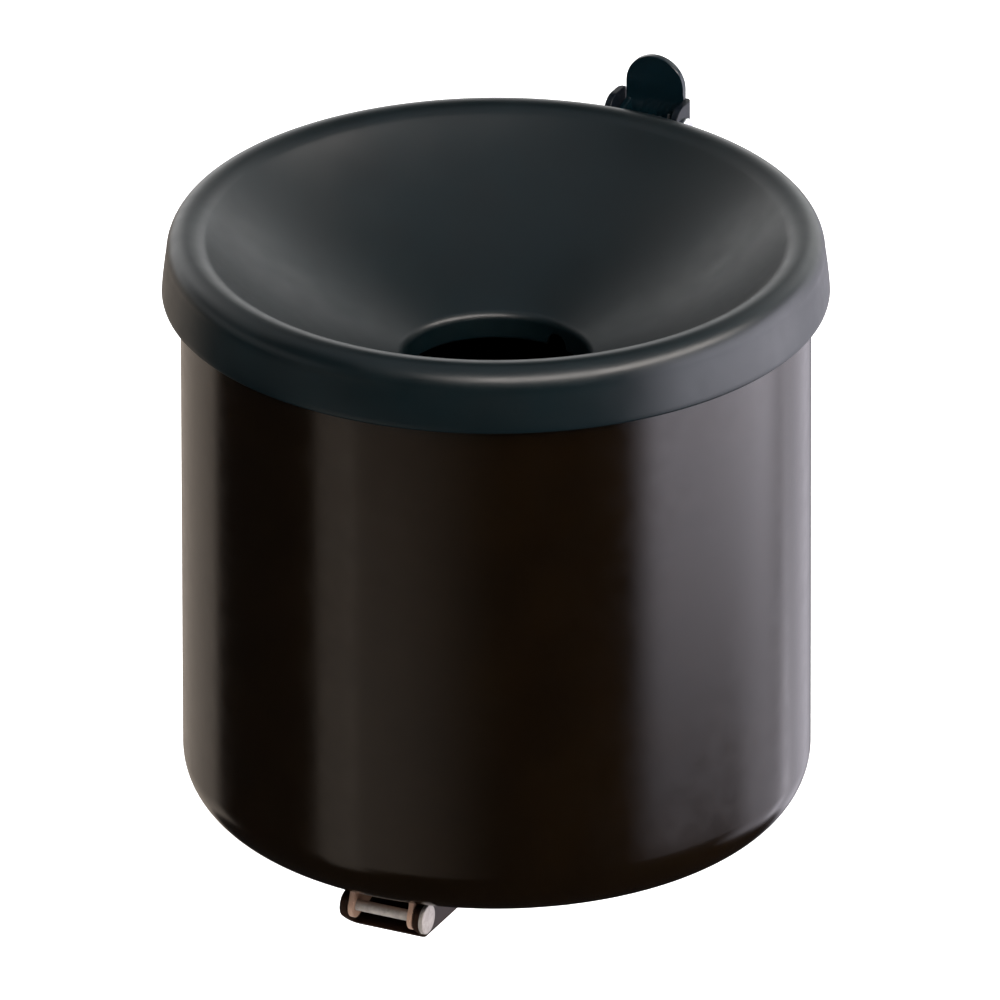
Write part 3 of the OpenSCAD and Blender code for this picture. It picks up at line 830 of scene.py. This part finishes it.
ahead = Vector((
    -math.sin(VIEW_AZIMUTH) * math.cos(VIEW_ELEVATION),
    math.cos(VIEW_AZIMUTH) * math.cos(VIEW_ELEVATION),
    -math.sin(VIEW_ELEVATION),
))
right = Vector((math.cos(VIEW_AZIMUTH), math.sin(VIEW_AZIMUTH), 0))
above = right.cross(ahead)


def make_camera():
    data = bpy.data.cameras.new("camera")
    data.sensor_width = SENSOR
    data.lens = LENS
    distance = FRAME_WIDTH * LENS / SENSOR
    data.clip_start = distance / 10
    data.clip_end = distance * 3
    camera = bpy.data.objects.new("camera", data)
    bpy.context.scene.collection.objects.link(camera)
    target = Vector((0, axis_y, skirt_z)) + CENTRE_RIGHT * right - CENTRE_DOWN * above
    turned = Matrix.Rotation(ROLL, 3, ahead)
    axes = Matrix((turned @ right, turned @ above, turned @ -ahead)).transposed()
    camera.matrix_world = Matrix.Translation(target - ahead * distance) @ axes.to_4x4()
    bpy.context.scene.camera = camera


make_camera()

FLOOR_DROP = 0.35
FLOOR_SIZE = 14


def make_floor():
    bm = bmesh.new()
    half = FLOOR_SIZE / 2
    signs = ((-1, -1), (1, -1), (1, 1), (-1, 1))
    corners = [bm.verts.new((x * half, y * half, 0)) for x, y in signs]
    bm.faces.new(corners)
    floor = from_bmesh("floor", bm)
    floor.location.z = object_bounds()[0].z - FLOOR_DROP
    finish = Finish("floor", Base_Color=(0.85, 0.85, 0.85, 1), Roughness=0.8)
    finish.shader.inputs["Emission Color"].default_value = (1, 1, 1, 1)
    finish.shader.inputs["Emission Strength"].default_value = 1.05
    floor.data.materials.append(finish.material)
    floor.visible_glossy = False


make_floor()


def glow(name, strength, fade, tint):
    """Light given off by a card that hides nothing behind it, so that the cards add up.

    fade is how much of the card it takes to come up from each edge: the one towards lower azimuth,
    the one towards higher azimuth, the lower and the upper one.
    """
    material = bpy.data.materials.new(name)
    material.use_nodes = True
    tree = material.node_tree
    tree.nodes.clear()
    lamp = tree.nodes.new("ShaderNodeEmission")
    lamp.inputs["Color"].default_value = (*tint, 1)
    out = tree.nodes.new("ShaderNodeOutputMaterial")
    where = tree.nodes.new("ShaderNodeUVMap")
    split = tree.nodes.new("ShaderNodeSeparateXYZ")
    tree.links.new(where.outputs[0], split.inputs[0])
    level_out = None
    edges = (("X", 0, fade[0]), ("X", 1, 1 - fade[1]), ("Y", 0, fade[2]), ("Y", 1, 1 - fade[3]))
    for axis, start, end in edges:
        ease = tree.nodes.new("ShaderNodeMapRange")
        ease.interpolation_type = "SMOOTHSTEP"
        ease.inputs["From Min"].default_value = start
        ease.inputs["From Max"].default_value = end
        tree.links.new(split.outputs[axis], ease.inputs["Value"])
        times = tree.nodes.new("ShaderNodeMath")
        times.operation = "MULTIPLY"
        tree.links.new(ease.outputs[0], times.inputs[0])
        if level_out is None:
            times.inputs[1].default_value = strength
        else:
            tree.links.new(level_out, times.inputs[1])
        level_out = times.outputs[0]
    tree.links.new(level_out, lamp.inputs["Strength"])
    clear = tree.nodes.new("ShaderNodeBsdfTransparent")
    both = tree.nodes.new("ShaderNodeAddShader")
    tree.links.new(lamp.outputs[0], both.inputs[0])
    tree.links.new(clear.outputs[0], both.inputs[1])
    tree.links.new(both.outputs[0], out.inputs["Surface"])
    return material


def light_card(name, place, columns, strength, fade, tint):
    """A glowing sheet that no camera sees. place(u, v) gives its points, u along it and v up it."""
    bm = bmesh.new()
    uv = bm.loops.layers.uv.new("UVMap")
    for k in range(columns):
        corners = [(k / columns, 0), ((k + 1) / columns, 0), ((k + 1) / columns, 1), (k / columns, 1)]
        face = bm.faces.new([bm.verts.new(place(u, v)) for u, v in corners])
        for loop, corner in zip(face.loops, corners):
            loop[uv].uv = corner
    mesh = bpy.data.meshes.new(name)
    bm.to_mesh(mesh)
    bm.free()
    card = new_piece(name, mesh)
    card.data.materials.append(glow(name, strength, fade, tint))
    card.visible_camera = False
    card.visible_shadow = False


STUDIO_CENTRE = Vector((0, axis_y, (bottom_z + skirt_z) / 2))
towards_camera = Vector((-ahead.x, -ahead.y, 0)).normalized()
UP = Vector((0, 0, 1))


def way(azimuth, elevation=0):
    """A direction from the bin. Azimuth is from the camera's side towards the right, in degrees."""
    a, e = math.radians(azimuth), math.radians(elevation)
    return (towards_camera * math.cos(a) + right * math.sin(a)) * math.cos(e) + UP * math.sin(e)


def light_wall(name, start, end, radius, low, high, strength, fade, tint=(1, 1, 1)):
    """An upright wall of light that curves round the bin from one azimuth to another."""

    def place(u, v):
        return STUDIO_CENTRE + way(start + (end - start) * u) * radius + UP * (low + (high - low) * v)

    light_card(name, place, 24, strength, fade, tint)


def softbox(name, azimuth, elevation, distance, width, height, strength, fade, tint=(1, 1, 1)):
    """A flat card that faces the bin."""
    towards = way(azimuth, elevation)
    along = way(azimuth + 90)
    up = towards.cross(along)

    def place(u, v):
        return STUDIO_CENTRE + towards * distance + along * (u - 0.5) * width + up * (v - 0.5) * height

    light_card(name, place, 1, strength, fade, tint)


COOL = (0.98, 0.94, 1.05)
WARM = (1.0, 0.85, 0.72)
SKY = (0.93, 1.0, 1.08)
light_wall("wall_right", 46, 134, 0.9, -0.5, 0.32, 3.6, (0.18, 0.3, 0.27, 0.1), COOL)
light_wall("wall_right_low", 90, 134, 0.9, -0.8, -0.36, 1.0, (0.4, 0.08, 0.3, 0.35), COOL)
light_wall("wall_back_right", 124, 176, 1.2, -0.95, 0.1, 1.15, (0.1, 0.5, 0.1, 0.3), COOL)
light_wall("wall_back_left", -176, -118, 1.2, -0.95, 0.1, 0.5, (0.1, 0.12, 0.1, 0.3), WARM)
light_wall("wall_back", 122, 238, 1.5, -0.2, 1.25, 1.55, (0.12, 0.12, 0.12, 0.6))
light_wall("wall_left", -67.5, -49, 0.9, -0.85, -0.2, 0.55, (0.1, 0.25, 0.1, 0.1), WARM)
light_wall("wall_left_wide", -56, 6, 0.9, -0.65, -0.28, 0.42, (0.1, 0.85, 0.1, 0.1), WARM)
light_wall("wall_left_low", -128, -40, 1.0, -0.12, 0.25, 0.45, (0.2, 0.3, 0.3, 0.3))
light_wall("strip_front", -25, 100, 0.9, 0.5, 0.78, 18.0, (0.2, 0.15, 0.3, 0.3), (1.0, 0.92, 0.87))
softbox("card_high_right", 125, 40, 1.3, 2.0, 1.1, 0.75, (0.3, 0.3, 0.2, 0.5))
softbox("card_high_left", -125, 40, 1.3, 2.0, 1.1, 0.55, (0.3, 0.3, 0.2, 0.5))
softbox("card_top", 0, 76, 1.2, 2.4, 2.0, 0.42, (0.2, 0.2, 0.15, 0.2), SKY)


def make_world():
    world = bpy.data.worlds.new("studio")
    bpy.context.scene.world = world
    world.use_nodes = True
    tree = world.node_tree
    tree.nodes.clear()
    seen = tree.nodes.new("ShaderNodeBackground")
    seen.inputs["Color"].default_value = (1, 1, 1, 1)
    fill = tree.nodes.new("ShaderNodeBackground")
    fill.inputs["Color"].default_value = (0.012, 0.012, 0.013, 1)
    rays = tree.nodes.new("ShaderNodeLightPath")
    mix = tree.nodes.new("ShaderNodeMixShader")
    out = tree.nodes.new("ShaderNodeOutputWorld")
    tree.links.new(rays.outputs["Is Camera Ray"], mix.inputs[0])
    tree.links.new(fill.outputs[0], mix.inputs[1])
    tree.links.new(seen.outputs[0], mix.inputs[2])
    tree.links.new(mix.outputs[0], out.inputs["Surface"])


make_world()
bpy.context.scene.view_settings.view_transform = "Standard"
